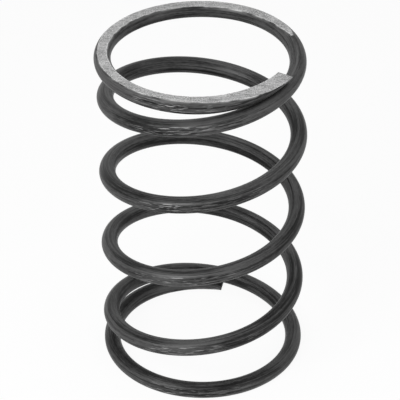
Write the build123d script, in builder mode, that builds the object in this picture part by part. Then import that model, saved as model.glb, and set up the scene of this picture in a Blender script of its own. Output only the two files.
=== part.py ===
"""Compression spring, wound right-hand from round wire, with both ends closed and ground flat.

Millimetres. +Z runs along the coil's axis, and the origin lies on that axis in the plane of the lower seat.
"""

import os
from math import cos, radians, sin, sqrt, tau

from build123d import *

# Driving dimensions
wire_diameter = 2.0
outer_diameter = 25.0
free_length = 42.0  # from the lower ground seat to the upper one
total_turns = 5.7  # from tip to tip
ease_turns = 0.36  # turns over which the pitch opens, from flat to full
tip_turns = 0.2  # turns over which a tip climbs onto the turn it closes against
grind_depth = 0.32  # ground off the flat of an end turn
tip_thickness = 0.7  # wire left at a tip after grinding
tip_gap = 0.18  # space between a tip and the turn it closes against
lower_tip_bearing = 77.0  # degrees from +X, seen from above

# How finely the coil is drawn
wire_flats = 10  # the round wire is drawn with this many narrow flats, at its true area
points_per_turn = 12
end_spans = 4  # each end turn is swept in this many lengths, and the active turns in one

# Worked out from them
wire_radius = wire_diameter / 2
coil_radius = (outer_diameter - wire_diameter) / 2
flat_height = wire_radius - grind_depth  # wire's centre above the seat on the flat of an end turn
tip_sink = wire_diameter - grind_depth - tip_thickness  # the tip's centre below that
section_radius = wire_radius * sqrt(tau / (wire_flats * sin(tau / wire_flats)))


def closed_turns_and_pitch():
    """Turns that lie flat at each end, and the pitch between them.

    One turn from the tip, the wire has to have risen by first_rise to clear it. The rise is quadratic while the
    pitch opens, so the turns left for it are the root of a quadratic.
    """
    first_rise = tip_thickness + tip_gap + grind_depth
    lift = free_length - 2 * flat_height
    b = 2 * ease_turns * first_rise
    rising = (b + sqrt(b * b + lift * b * (total_turns - 2 - ease_turns))) / lift
    flat = 1 - rising
    return flat, lift / (total_turns - 2 * flat - ease_turns)


flat_turns, pitch = closed_turns_and_pitch()


def height_from_seat(turns):
    """Height of the wire's centre above the nearer seat, this many turns from the nearer tip."""
    height = flat_height
    if turns < tip_turns:
        height -= tip_sink * (1 - turns / tip_turns) ** 2
    opening = turns - flat_turns
    if opening > ease_turns:
        height += pitch * (opening - ease_turns / 2)
    elif opening > 0:
        height += pitch * opening**2 / (2 * ease_turns)
    return height


def wire_centre(turns):
    """Point on the wire's centreline, this many turns up from the lower tip."""
    bearing = radians(lower_tip_bearing) + tau * turns
    from_top = total_turns - turns
    if turns < from_top:
        height = height_from_seat(turns)
    else:
        height = free_length - height_from_seat(from_top)
    return (coil_radius * cos(bearing), coil_radius * sin(bearing), height)


point_count = round(total_turns * points_per_turn)
lower_ends = [i / end_spans for i in range(end_spans + 1)]
upper_ends = [total_turns - turns for turns in reversed(lower_ends)]
span_ends = [turns / total_turns for turns in lower_ends + upper_ends]

# The centreline is one smooth curve. The wire is carried along it a length at a time, each length
# starting square to the curve with the section turned as the last one left it. Both seats are then
# ground off flat.
with BuildPart() as spring:
    with BuildLine() as centreline:
        Spline([wire_centre(total_turns * i / point_count) for i in range(point_count + 1)])
    for start, end in zip(span_ends, span_ends[1:]):
        span = centreline.edge().trim(start, end)
        with BuildSketch(Plane(span.location_at(0))):
            RegularPolygon(section_radius, wire_flats, rotation=180 / wire_flats)
        sweep(path=span, is_frenet=True)
    split(bisect_by=Plane.XY, keep=Keep.TOP)
    split(bisect_by=Plane.XY.offset(free_length), keep=Keep.BOTTOM)
spring.part.label = "coil_spring"

print("flat turns at each end", round(flat_turns, 3), "and pitch", round(pitch, 3))
os.makedirs("parts", exist_ok=True)
export_step(spring.part, "parts/coil_spring.step")
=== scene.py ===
from math import cos, radians, sin, sqrt, tau

import bpy
import numpy as np
from mathutils import Matrix, Vector


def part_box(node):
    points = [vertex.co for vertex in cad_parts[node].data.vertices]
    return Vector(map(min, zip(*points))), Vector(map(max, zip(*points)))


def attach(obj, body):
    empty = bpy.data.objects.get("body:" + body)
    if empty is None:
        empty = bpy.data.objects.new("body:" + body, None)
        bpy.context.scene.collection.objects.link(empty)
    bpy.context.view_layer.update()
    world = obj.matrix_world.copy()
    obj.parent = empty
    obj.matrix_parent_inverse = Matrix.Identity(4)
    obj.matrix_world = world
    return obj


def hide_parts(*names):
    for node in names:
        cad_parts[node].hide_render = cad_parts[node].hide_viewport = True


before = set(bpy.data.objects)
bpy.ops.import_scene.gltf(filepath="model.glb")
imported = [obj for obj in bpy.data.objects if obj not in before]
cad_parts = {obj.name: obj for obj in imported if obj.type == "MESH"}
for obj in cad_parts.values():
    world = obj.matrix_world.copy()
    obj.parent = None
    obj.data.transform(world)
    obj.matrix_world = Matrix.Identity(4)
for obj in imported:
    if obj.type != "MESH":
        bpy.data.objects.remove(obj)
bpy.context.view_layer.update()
low, high = (Vector(corner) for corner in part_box("coil_spring"))
freeLength = high.z - low.z
print("frame loaded, coil", round(freeLength * 1000, 2), "mm tall")

# The coil. Lengths are in metres, and turns are counted along the wire from the lower tip.
coil = {
    "wireDiameter": 0.002,
    "totalTurns": 5.7,
    "easeTurns": 0.36,          # turns over which the pitch opens
    "tipTurns": 0.2,            # turns over which a tip climbs onto the turn that it closes against
    "grindDepth": 0.00032,      # ground off the flat of an end turn
    "tipThickness": 0.0007,     # wire left at a tip
    "tipGap": 0.00018,          # space between a tip and the turn that it closes against
    "lowerTipBearing": 77,      # degrees from +X, seen from above
    "topTurnShift": -0.0003,    # how far the top turn stands off the axis, along X
    "topTurnTighter": 0.0001,   # how much less its radius is
    "topTurnFade": (0.8, 1.3),  # turns from the top tip over which both of those fade out
    "topTurnSag": 0.00014,      # how far it hangs between its tip and its back
    "sagStart": 0.16,           # turns from the top tip over which the sag comes in
    "sagFade": (0.4, 0.8),      # turns from the top tip over which it fades out again
    "stationsPerTurn": 140,
    "sideColumns": 36,          # columns of points down each side of the wire
    "crowding": 0.7,            # how much closer those columns stand beside a ground face
    "flatColumns": 12,          # columns across the wire's top, and as many across its underside
    "leastFlat": 0.2,           # half the angle that those columns take where nothing is ground off
    "paintedHighlightWidth": 0.00007,        # width of the painted highlight along the edge of a ground face
    "tipRounding": 0.00007,     # radius of the edge round the cut at a tip
    "tipRoundingRings": 4,      # rings of points round that edge
    "tipFaceRings": (0.7, 0.4, 0.15),    # rings across the cut, as shares of the wire's radius
    "leastGroundOff": 1e-9,     # a point that is moved further than this belongs to a ground face
    "sharpAngle": 24,           # degrees between faces past which their edge is sharp
}
wireRadius = coil["wireDiameter"] / 2
coilRadius = (high.x - low.x) / 2 - wireRadius
turnLength = tau * coilRadius


def smoothStep(x):
    # 0 below 0, 1 above 1, and 3x^2 - 2x^3 between
    x = np.clip(x, 0, 1)
    return x * x * (3 - 2 * x)


def fadeOut(x, start, end):
    # 1 before start, 0 past end, smooth between
    return smoothStep((end - x) / (end - start))


def unit(vectors):
    return vectors / np.linalg.norm(vectors, axis=-1, keepdims=True)


def heightFromSeat(turns):
    # Height of the wire's centre above the nearer seat, for the turns from the nearer tip. It is level on
    # the flat of an end turn, and sinks as a parabola towards the tip. Past the flat it is a parabola while
    # the pitch opens, and then a straight line.
    flatHeight = wireRadius - coil["grindDepth"]
    tipSink = 2 * wireRadius - coil["grindDepth"] - coil["tipThickness"]
    firstRise = coil["tipThickness"] + coil["tipGap"] + coil["grindDepth"]
    ease, total = coil["easeTurns"], coil["totalTurns"]
    lift = freeLength - 2 * flatHeight
    b = 2 * ease * firstRise
    flatTurns = 1 - (b + sqrt(b * b + lift * b * (total - 2 - ease))) / lift
    pitch = lift / (total - 2 * flatTurns - ease)
    sink = tipSink * np.clip(1 - turns / coil["tipTurns"], 0, 1) ** 2
    opening = np.clip(turns - flatTurns, 0, None)
    rise = np.where(opening < ease, opening**2 / (2 * ease), opening - ease / 2)
    return flatHeight - sink + pitch * rise


def centreline(turns):
    # Seen from above it is a circle of the coil's radius, and its height is the law above, from each seat
    # in turn. The top turn is a little smaller and stands to one side, which fades out over the turn below.
    # It also sags between its tip and its back, so that less of it is ground off there.
    bearing = radians(coil["lowerTipBearing"]) + tau * turns
    fromTop = coil["totalTurns"] - turns
    z = np.where(turns < fromTop, low.z + heightFromSeat(turns), high.z - heightFromSeat(fromTop))
    sag = coil["topTurnSag"] * smoothStep(fromTop / coil["sagStart"]) * fadeOut(fromTop, *coil["sagFade"])
    z = z - sag
    topShare = fadeOut(fromTop, *coil["topTurnFade"])
    shift = coil["topTurnShift"] * topShare
    radial = np.stack([np.cos(bearing), np.sin(bearing), 0 * bearing], axis=-1)
    radius = coilRadius - coil["topTurnTighter"] * topShare
    centre = radius[:, None] * radial + np.stack([shift, 0 * z, z], axis=-1)
    return centre, radial


def halfChord(distance, rise):
    # Half the angle that a plane takes off the circle, at this distance from its centre
    return np.arccos(np.clip(distance / (wireRadius * rise), -1, 1))


def wireRings():
    # The wire is a circle carried along the centreline, square to it: centre + r (cos a out + sin a up),
    # with a the angle round the wire. The points beyond a seat's plane go back to it along up. The columns
    # are shared out so that two of them always run along the edges of the ground face, which stay sharp.
    # Between those the angle is linear in s on the face, and s - c sin(2 pi s) / 2 pi on the sides, which
    # brings the columns closer at both ends.
    inset = coil["tipRounding"] / turnLength
    count = round(coil["totalTurns"] * coil["stationsPerTurn"]) + 1
    turns = np.linspace(inset, coil["totalTurns"] - inset, count)
    centre, radial = centreline(turns)
    along = unit(np.gradient(centre, axis=0))
    up = unit(np.cross(radial, along))
    out = np.cross(along, up)

    cutUnder = halfChord(centre[:, 2] - low.z, up[:, 2])[:, None]
    cutOver = halfChord(high.z - centre[:, 2], up[:, 2])[:, None]
    under = np.maximum(cutUnder, coil["leastFlat"])
    over = np.maximum(cutOver, coil["leastFlat"])
    across = np.linspace(-1, 1, coil["flatColumns"], endpoint=False)[None]
    s = np.linspace(0, 1, coil["sideColumns"], endpoint=False)[None]
    s = s - coil["crowding"] * np.sin(tau * s) / tau
    quarter = tau / 4
    side = (2 * quarter - under - over) * s
    angle = np.concatenate([
        under * across - quarter,
        side + under - quarter,
        over * across + quarter,
        side + over + quarter,
    ], axis=1)
    ring = np.cos(angle)[..., None] * out[:, None] + np.sin(angle)[..., None] * up[:, None]
    point = centre[:, None] + wireRadius * ring

    below = np.clip(low.z - point[..., 2], 0, None)
    above = np.clip(point[..., 2] - high.z, 0, None)
    point = point + ((below - above) / up[:, None, 2])[..., None] * up[:, None]
    beyond = below + above

    # how near a point is to the edge of a ground face: exp(-arc / highlight width), 1 at the edge; this is
    # the mask of the painted highlight along that edge
    def edgeHighlightBeside(middle, half):
        aside = np.abs((angle - middle + tau / 2) % tau - tau / 2)
        return np.exp(-wireRadius * np.abs(aside - half) / coil["paintedHighlightWidth"]) * (half > 0)

    edgeHighlight = edgeHighlightBeside(-quarter, cutUnder) + edgeHighlightBeside(quarter, cutOver)
    grain = np.stack([
        np.broadcast_to(turns[:, None] * turnLength, angle.shape),
        wireRadius * np.cos(angle),
        wireRadius * np.sin(angle),
    ], axis=-1)
    return point, along, grain, beyond, edgeHighlight


def tipRings(ring, outwards):
    # Rings from the wire's end to the middle of the cut. They shrink towards the section's own middle,
    # first round a quarter circle, by 1 - cos and on by sin, and then straight in across the face.
    radius = coil["tipRounding"]
    faceRings = coil["tipFaceRings"]
    middle = ring.mean(axis=0)
    turn = np.linspace(0, tau / 4, coil["tipRoundingRings"] + 1)[1:]
    shrink = np.concatenate([1 - radius / wireRadius * (1 - np.cos(turn)), faceRings])
    advance = np.concatenate([radius * np.sin(turn), [radius] * len(faceRings)])
    return middle + shrink[:, None, None] * (ring - middle) + advance[:, None, None] * outwards


def buildCoil():
    point, along, grain, beyond, edgeHighlight = wireRings()
    first = tipRings(point[0], -along[0])[::-1]
    last = tipRings(point[-1], along[-1])
    extra = len(first)
    pad = lambda values: np.concatenate([values[:1]] * extra + [values] + [values[-1:]] * extra)
    point = np.concatenate([first, point, last])
    grain, beyond, edgeHighlight = pad(grain), pad(beyond), pad(edgeHighlight)
    rows, columns = beyond.shape

    # quads between neighbouring rings, closed round the wire, and a fan of triangles at each end, with their
    # corners in the order that points them outwards
    index = np.arange(rows * columns).reshape(rows, columns)
    right = np.roll(index, -1, axis=1)
    quads = np.stack([index[:-1], index[1:], right[1:], right[:-1]], axis=-1).reshape(-1, 4)
    ends = [rows * columns, rows * columns + 1]
    fanLow = np.stack([np.full(columns, ends[0]), index[0], right[0]], axis=-1)
    fanHigh = np.stack([np.full(columns, ends[1]), right[-1], index[-1]], axis=-1)
    vertices = np.concatenate([point.reshape(-1, 3), [point[0].mean(axis=0), point[-1].mean(axis=0)]])

    mesh = bpy.data.meshes.new("coil_wire")
    mesh.from_pydata(vertices.tolist(), [], quads.tolist() + fanLow.tolist() + fanHigh.tolist())

    # slot 0 is the drawn wire, 1 the ground faces and 2 the cuts at the tips
    groundOff = beyond.reshape(-1)[quads].max(axis=1) > coil["leastGroundOff"]
    row = quads[:, 0] // columns
    cut = (row < extra) | (row >= rows - 1 - extra)
    slots = np.where(cut, 2, np.where(groundOff, 1, 0))
    slots = np.concatenate([slots, np.full(2 * columns, 2)])
    mesh.polygons.foreach_set("material_index", slots.astype(np.int32))

    grainPoints = np.concatenate([grain.reshape(-1, 3), grain[0, :1], grain[-1, :1]])
    wireGrain = mesh.attributes.new("wireGrain", "FLOAT_VECTOR", "POINT")
    wireGrain.data.foreach_set("vector", grainPoints.ravel())
    # the mask of the painted highlight along the edges of the ground faces, which both steels paint light
    edgeHighlightPoints = np.concatenate([edgeHighlight.ravel(), [0, 0]])
    paintedEdgeHighlight = mesh.attributes.new("paintedEdgeHighlight", "FLOAT", "POINT")
    paintedEdgeHighlight.data.foreach_set("value", edgeHighlightPoints)

    mesh.polygons.foreach_set("use_smooth", np.ones(len(mesh.polygons), dtype=bool))
    mesh.set_sharp_from_angle(angle=radians(coil["sharpAngle"]))
    mesh.update()
    piece = bpy.data.objects.new("coil_wire", mesh)
    bpy.context.collection.objects.link(piece)
    print("coil built,", len(mesh.polygons), "faces")
    return piece


# Materials. A Signal wraps an output socket, and sums written with it become Math nodes.
class Signal:
    def __init__(self, graph, socket):
        self.graph = graph
        self.socket = socket

    def __add__(self, other):
        return self.graph.maths("ADD", self, other)

    def __sub__(self, other):
        return self.graph.maths("SUBTRACT", self, other)

    def __mul__(self, other):
        return self.graph.maths("MULTIPLY", self, other)

    def __rsub__(self, other):
        return self.graph.maths("SUBTRACT", other, self)

    __radd__ = __add__
    __rmul__ = __mul__


class Graph:
    # the nodes of one material, or of the sky
    def __init__(self, owner):
        owner.use_nodes = True
        self.owner = owner
        self.tree = owner.node_tree
        self.tree.nodes.clear()

    def node(self, kind, settings=None, values=None, output=0):
        # settings come first, because they can change which sockets the node has
        made = self.tree.nodes.new(kind)
        for name, value in (settings or {}).items():
            setattr(made, name, value)
        for name, value in (values or {}).items():
            if isinstance(value, Signal):
                self.tree.links.new(value.socket, made.inputs[name])
            else:
                made.inputs[name].default_value = value
        return None if output is None else Signal(self, made.outputs[output])

    def maths(self, operation, *values):
        return self.node("ShaderNodeMath", {"operation": operation}, dict(enumerate(values)))

    def attribute(self, name, output):
        return self.node("ShaderNodeAttribute", {"attribute_name": name}, output=output)

    def axis(self, vector, name):
        return self.node("ShaderNodeSeparateXYZ", None, {0: vector}, output=name)

    def scaled(self, vector, factors):
        return self.node("ShaderNodeVectorMath", {"operation": "MULTIPLY"}, {0: vector, 1: factors})

    def noise(self, vector, factors, detail=2.0, roughness=0.5):
        place = self.scaled(vector, factors)
        values = {"Vector": place, "Scale": 1.0, "Detail": detail, "Roughness": roughness}
        return self.node("ShaderNodeTexNoise", None, values)

    def between(self, signal, start, end):
        # 0 below start, 1 above end, smooth between
        settings = {"interpolation_type": "SMOOTHSTEP"}
        values = {"Value": signal, "From Min": start, "From Max": end}
        return self.node("ShaderNodeMapRange", settings, values)

    def bump(self, height, strength, distance):
        values = {"Strength": strength, "Distance": distance, "Height": height}
        return self.node("ShaderNodeBump", None, values, output="Normal")

    def mixColour(self, factor, first, second):
        settings = {"data_type": "RGBA"}
        first, second = (grey(c) if isinstance(c, float) else c for c in (first, second))
        return self.node("ShaderNodeMix", settings, {0: factor, 6: first, 7: second}, output=2)

    def finish(self, shader, output="ShaderNodeOutputMaterial"):
        self.node(output, None, {"Surface": shader}, output=None)
        return self.owner


def grey(level):
    return (level, level, level, 1)


# The drawn wire. Lengths are in metres, levels of grey are linear, and a range is where the noise starts
# to count and where it counts in full.
drawn = {
    "dark": 0.004,            # the bottoms of the drawing lines
    "light": 0.066,           # the polished ridges between them
    "metallic": 0.15,
    "specular": 0.16,
    "roughness": 0.42,
    "roughnessSpread": 0.2,   # how far the patches vary that
    "scuffPolish": 0.08,      # how much smoother a scuff is
    "coarseLines": (60, 3200, 3200),     # cells to the metre, along the wire and across it
    "fineLines": (140, 7600, 7600),
    "specks": (1400, 9000, 9000),
    "lineShares": (0.5, 0.3, 0.2),       # of the coarse lines, the fine ones and the specks
    "patches": (170, 420, 420),
    "patchShare": 0.25,
    "toneRange": (0.41, 0.60),
    "scuffs": (700, 9000, 9000),
    "scuffRange": (0.56, 0.65),
    # the grey of the scuffs, light enough to paint a highlight on them
    "scuffAndHighlightLevel": 0.24,
    "scuffedSkin": (0.0007, 0.00098),    # how far outwards from the middle of the wire
    "scuffHighlightFront": (0.0085, 0.0118),    # how far to the front of the axis, where the scuffs carry a painted highlight
    "scuffHighlightLeft": (-0.003, 0.003),      # how far to its left, towards the light from the front left
    "scuffHighlightOnRight": 0.2,     # share of the front's painted highlight on the scuffs that its right side has
    "scuffsAllRound": 0.12,   # share that the whole coil has
    "edgeHighlightBreaks": (500, 1500, 1500),      # gaps in the painted highlight along the edge of a ground face
    "edgeHighlightBreakRange": (0.38, 0.62),
    # the grey of the painted highlight along the edge of a ground face
    "edgeHighlightLevel": 0.60,
    "lineDepth": 0.000012,
    "bumpStrength": 0.6,
}


def drawnWireMaterial():
    # Lines left by the die run the whole length of the wire, under a thin film of oxide and oil that lies
    # in soft patches. The outermost skin of each turn is scuffed, and the scuffs are painted light as a
    # highlight, most where the turn faces front and left.
    g = Graph(bpy.data.materials.new("drawnSteel"))
    grain = g.attribute("wireGrain", "Vector")
    edgeHighlight = g.attribute("paintedEdgeHighlight", "Fac")
    place = g.node("ShaderNodeTexCoord", output="Object")

    coarse = g.noise(grain, drawn["coarseLines"], detail=3)
    fine = g.noise(grain, drawn["fineLines"])
    specks = g.noise(grain, drawn["specks"])
    patches = g.noise(grain, drawn["patches"], detail=3)
    coarseShare, fineShare, speckShare = drawn["lineShares"]
    lines = coarse * coarseShare + fine * fineShare + specks * speckShare
    patchShare = drawn["patchShare"]
    tone = g.between(lines * (1 - patchShare) + patches * patchShare, *drawn["toneRange"])

    # scuffs: short strokes along the wire, on its outer side, painted light as a highlight where the turn
    # faces front and left
    outerSide = g.between(g.axis(grain, "Y"), *drawn["scuffedSkin"])
    front = g.between(g.axis(place, "Y") * -1, *drawn["scuffHighlightFront"])
    left = g.between(g.axis(place, "X") * -1, *drawn["scuffHighlightLeft"])
    strokes = g.between(g.noise(grain, drawn["scuffs"]), *drawn["scuffRange"])
    onRight = drawn["scuffHighlightOnRight"]
    scuffAndHighlight = strokes * outerSide * (front * (left * (1 - onRight) + onRight) + drawn["scuffsAllRound"])

    colour = g.mixColour(tone, drawn["dark"], drawn["light"])
    # the scuffs are painted light, a painted highlight from the light at the front left
    colour = g.mixColour(scuffAndHighlight, colour, drawn["scuffAndHighlightLevel"])
    # a painted highlight, broken into lengths, along the edges of the ground faces
    breaks = g.between(g.noise(grain, drawn["edgeHighlightBreaks"]), *drawn["edgeHighlightBreakRange"])
    colour = g.mixColour(edgeHighlight * breaks, colour, drawn["edgeHighlightLevel"])
    spread = drawn["roughnessSpread"]
    smoothest = drawn["roughness"] - spread / 2
    shader = g.node("ShaderNodeBsdfPrincipled", None, {
        "Base Color": colour,
        "Metallic": drawn["metallic"],
        "Specular IOR Level": drawn["specular"],
        "Roughness": patches * spread + smoothest - scuffAndHighlight * drawn["scuffPolish"],
        "Normal": g.bump(lines, drawn["bumpStrength"], drawn["lineDepth"]),
    })
    return g.finish(shader)


# The ground end faces
ground = {
    "dark": 0.11,
    "light": 0.44,
    "metallic": 0.4,
    "roughness": 0.42,
    "roughnessSpread": 0.3,
    "wheelPath": 8,                      # degrees that the wheel's path is turned from X
    "scratches": (420, 9000, 1),         # cells to the metre, along the wheel's path and across it
    "finerScratches": (900, 16000, 1),
    "mottle": (5600, 5600, 1),
    "heightShares": (0.35, 0.2, 0.45),   # of the scratches, the finer ones and the mottle
    "clouds": (420, 420, 1),
    "cloudShare": 0.15,
    "toneRange": (0.42, 0.59),
    "pits": (6500, 6500, 1),
    "pitRange": (0.62, 0.69),
    "pitLevel": 0.06,
    "pitShare": 0.8,                     # how far a pit takes on that level
    "pitDepth": 0.5,                     # as a share of the scratches' depth
    "glintSpecks": (7200, 7200, 1),           # torn specks, painted bright as glints
    "sparkRange": (0.66, 0.70),
    "paintedGlintLevel": 0.85,                  # the level of the painted glints on those specks, and of the painted highlight along the face's edges
    "sparkShare": 0.8,
    # how far the face's edges take on that level, as a painted highlight
    "edgeHighlightShare": 0.6,
    "scratchDepth": 0.000014,
    "bumpStrength": 0.7,
}


def groundFaceMaterial():
    # The wheel crosses the whole end in one direction, so its scratches are straight and parallel. Torn
    # specks and pits lie between them. The specks are painted bright as glints, and the face's edges get a
    # painted highlight.
    g = Graph(bpy.data.materials.new("groundSteel"))
    place = g.node("ShaderNodeTexCoord", output="Object")
    edgeHighlight = g.attribute("paintedEdgeHighlight", "Fac")
    turned = {"Vector": place, "Rotation": (0, 0, radians(ground["wheelPath"]))}
    path = g.node("ShaderNodeMapping", None, turned)
    scratches = g.noise(path, ground["scratches"], detail=3, roughness=0.6)
    finer = g.noise(path, ground["finerScratches"])
    mottle = g.noise(place, ground["mottle"], detail=3, roughness=0.65)
    clouds = g.noise(place, ground["clouds"])
    scratchShare, finerShare, mottleShare = ground["heightShares"]
    height = scratches * scratchShare + finer * finerShare + mottle * mottleShare
    cloudShare = ground["cloudShare"]
    tone = g.between(height * (1 - cloudShare) + clouds * cloudShare, *ground["toneRange"])
    pits = g.between(g.noise(place, ground["pits"], detail=1), *ground["pitRange"])
    glintSpecks = g.between(g.noise(place, ground["glintSpecks"], detail=1), *ground["sparkRange"])
    # painted glints on the specks, and a painted highlight along the face's edges
    glints = g.maths("MAXIMUM", glintSpecks * ground["sparkShare"], edgeHighlight * tone * ground["edgeHighlightShare"])

    colour = g.mixColour(tone, ground["dark"], ground["light"])
    colour = g.mixColour(pits * ground["pitShare"], colour, ground["pitLevel"])
    colour = g.mixColour(glints, colour, ground["paintedGlintLevel"])
    spread = ground["roughnessSpread"]
    surface = height - pits * ground["pitDepth"]
    shader = g.node("ShaderNodeBsdfPrincipled", None, {
        "Base Color": colour,
        "Metallic": ground["metallic"],
        "Roughness": mottle * spread + (ground["roughness"] - spread / 2),
        "Normal": g.bump(surface, ground["bumpStrength"], ground["scratchDepth"]),
    })
    return g.finish(shader)


# The cuts at the tips
cutFace = {
    "dark": 0.035,
    "light": 0.11,
    "metallic": 0.5,
    "roughness": 0.5,
    "roughnessSpread": 0.2,
    "tears": (5000, 5000, 1500),         # cells to the metre
    "tearRange": (0.35, 0.68),
    "tearDepth": 0.00002,
    "bumpStrength": 0.6,
}


def cutFaceMaterial():
    # The wire was sheared, which leaves short upright tears.
    g = Graph(bpy.data.materials.new("shearedSteel"))
    place = g.node("ShaderNodeTexCoord", output="Object")
    tears = g.noise(place, cutFace["tears"], detail=3, roughness=0.6)
    tone = g.between(tears, *cutFace["tearRange"])
    spread = cutFace["roughnessSpread"]
    shader = g.node("ShaderNodeBsdfPrincipled", None, {
        "Base Color": g.mixColour(tone, cutFace["dark"], cutFace["light"]),
        "Metallic": cutFace["metallic"],
        "Roughness": tears * spread + (cutFace["roughness"] - spread / 2),
        "Normal": g.bump(tears, cutFace["bumpStrength"], cutFace["tearDepth"]),
    })
    return g.finish(shader)


# The room: a pale floor and a plain sky, which the camera and the steel see as white
room = {
    "floorSize": 60,          # in outer radii of the coil
    "floorLevel": 0.80,
    "skyLevel": 0.25,         # what the sky gives as light
    "whiteShare": 0.93,       # how much of the floor is plain white to the eye; the rest takes the shadow
}


def seenDirectly(g):
    # 1 for the camera's own rays and for those that come off a gloss or through glass
    rays = ("Is Camera Ray", "Is Glossy Ray", "Is Transmission Ray")
    camera, gloss, glass = (g.node("ShaderNodeLightPath", output=name) for name in rays)
    return g.maths("MAXIMUM", g.maths("MAXIMUM", camera, gloss), glass)


def buildRoom():
    size = room["floorSize"] * (coilRadius + wireRadius)
    mesh = bpy.data.meshes.new("floor")
    corners = [(-size, -size, low.z), (size, -size, low.z), (size, size, low.z), (-size, size, low.z)]
    mesh.from_pydata(corners, [], [(0, 1, 2, 3)])
    floor = bpy.data.objects.new("floor", mesh)
    bpy.context.collection.objects.link(floor)
    g = Graph(bpy.data.materials.new("paleFloor"))
    matt = g.node("ShaderNodeBsdfDiffuse", None, {"Color": grey(room["floorLevel"])})
    white = g.node("ShaderNodeEmission", None, {"Color": grey(1), "Strength": 1.0})
    share = seenDirectly(g) * room["whiteShare"]
    mesh.materials.append(g.finish(g.node("ShaderNodeMixShader", None, {0: share, 1: matt, 2: white})))

    world = bpy.data.worlds.new("sky")
    bpy.context.scene.world = world
    g = Graph(world)
    strength = seenDirectly(g) * (1 - room["skyLevel"]) + room["skyLevel"]
    sky = g.node("ShaderNodeBackground", None, {"Color": grey(1), "Strength": strength})
    g.finish(sky, "ShaderNodeOutputWorld")
    print("room built")


# Lamps. Places and sizes are in outer radii of the coil, from the middle of its height. A lamp's power is
# its level times 4 pi times its distance squared, so it can be moved away without growing dimmer.
lamps = {
    "key": {"place": (-7, -8, 8), "size": 7, "level": 0.72},
    "fill": {"place": (8, -8, 3.5), "size": 8, "level": 0.32},
    "top": {"place": (1, 5, 12), "size": 8, "level": 0.22},
}


def buildLamps():
    outer = coilRadius + wireRadius
    aim = Vector((0, 0, (low.z + high.z) / 2))
    for name, lamp in lamps.items():
        light = bpy.data.lights.new(name, "AREA")
        away = Vector(lamp["place"]) * outer
        light.size = lamp["size"] * outer
        light.energy = lamp["level"] * tau * 2 * away.length_squared
        holder = bpy.data.objects.new(name, light)
        facing = away.to_track_quat("Z", "Y").to_matrix().to_4x4()
        holder.matrix_world = Matrix.Translation(aim + away) @ facing
        bpy.context.collection.objects.link(holder)
    print("lamps built")


# The camera. Lengths are in mean radii of the coil.
view = {
    "elevation": 33.43,       # degrees above the level
    "distance": 21.435,
    "aim": (-0.0283, 0, 1.831),
    "roll": -0.128,           # degrees
    "lens": 181.7,            # millimetres
    "sensorWidth": 36,        # millimetres
    "nearest": 1,             # where the camera starts to see
    "farthest": 6000,         # and where it stops
}


def buildCamera():
    rise = radians(view["elevation"])
    back = Vector((0, -cos(rise), sin(rise)))
    facing = back.to_track_quat("Z", "Y").to_matrix().to_4x4()
    tilt = facing @ Matrix.Rotation(radians(view["roll"]), 4, "Z")
    camera = bpy.data.objects.new("camera", bpy.data.cameras.new("camera"))
    eye = (Vector(view["aim"]) + view["distance"] * back) * coilRadius
    camera.matrix_world = Matrix.Translation(eye) @ tilt
    camera.data.lens = view["lens"]
    camera.data.sensor_width = view["sensorWidth"]
    camera.data.clip_start = view["nearest"] * coilRadius
    camera.data.clip_end = view["farthest"] * coilRadius
    bpy.context.collection.objects.link(camera)
    bpy.context.scene.camera = camera
    print("camera set")


piece = buildCoil()
for material in (drawnWireMaterial(), groundFaceMaterial(), cutFaceMaterial()):
    piece.data.materials.append(material)
print("materials made")
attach(piece, "root")
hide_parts("coil_spring")
buildRoom()
buildLamps()
buildCamera()
bpy.context.scene.view_settings.view_transform = "Standard"
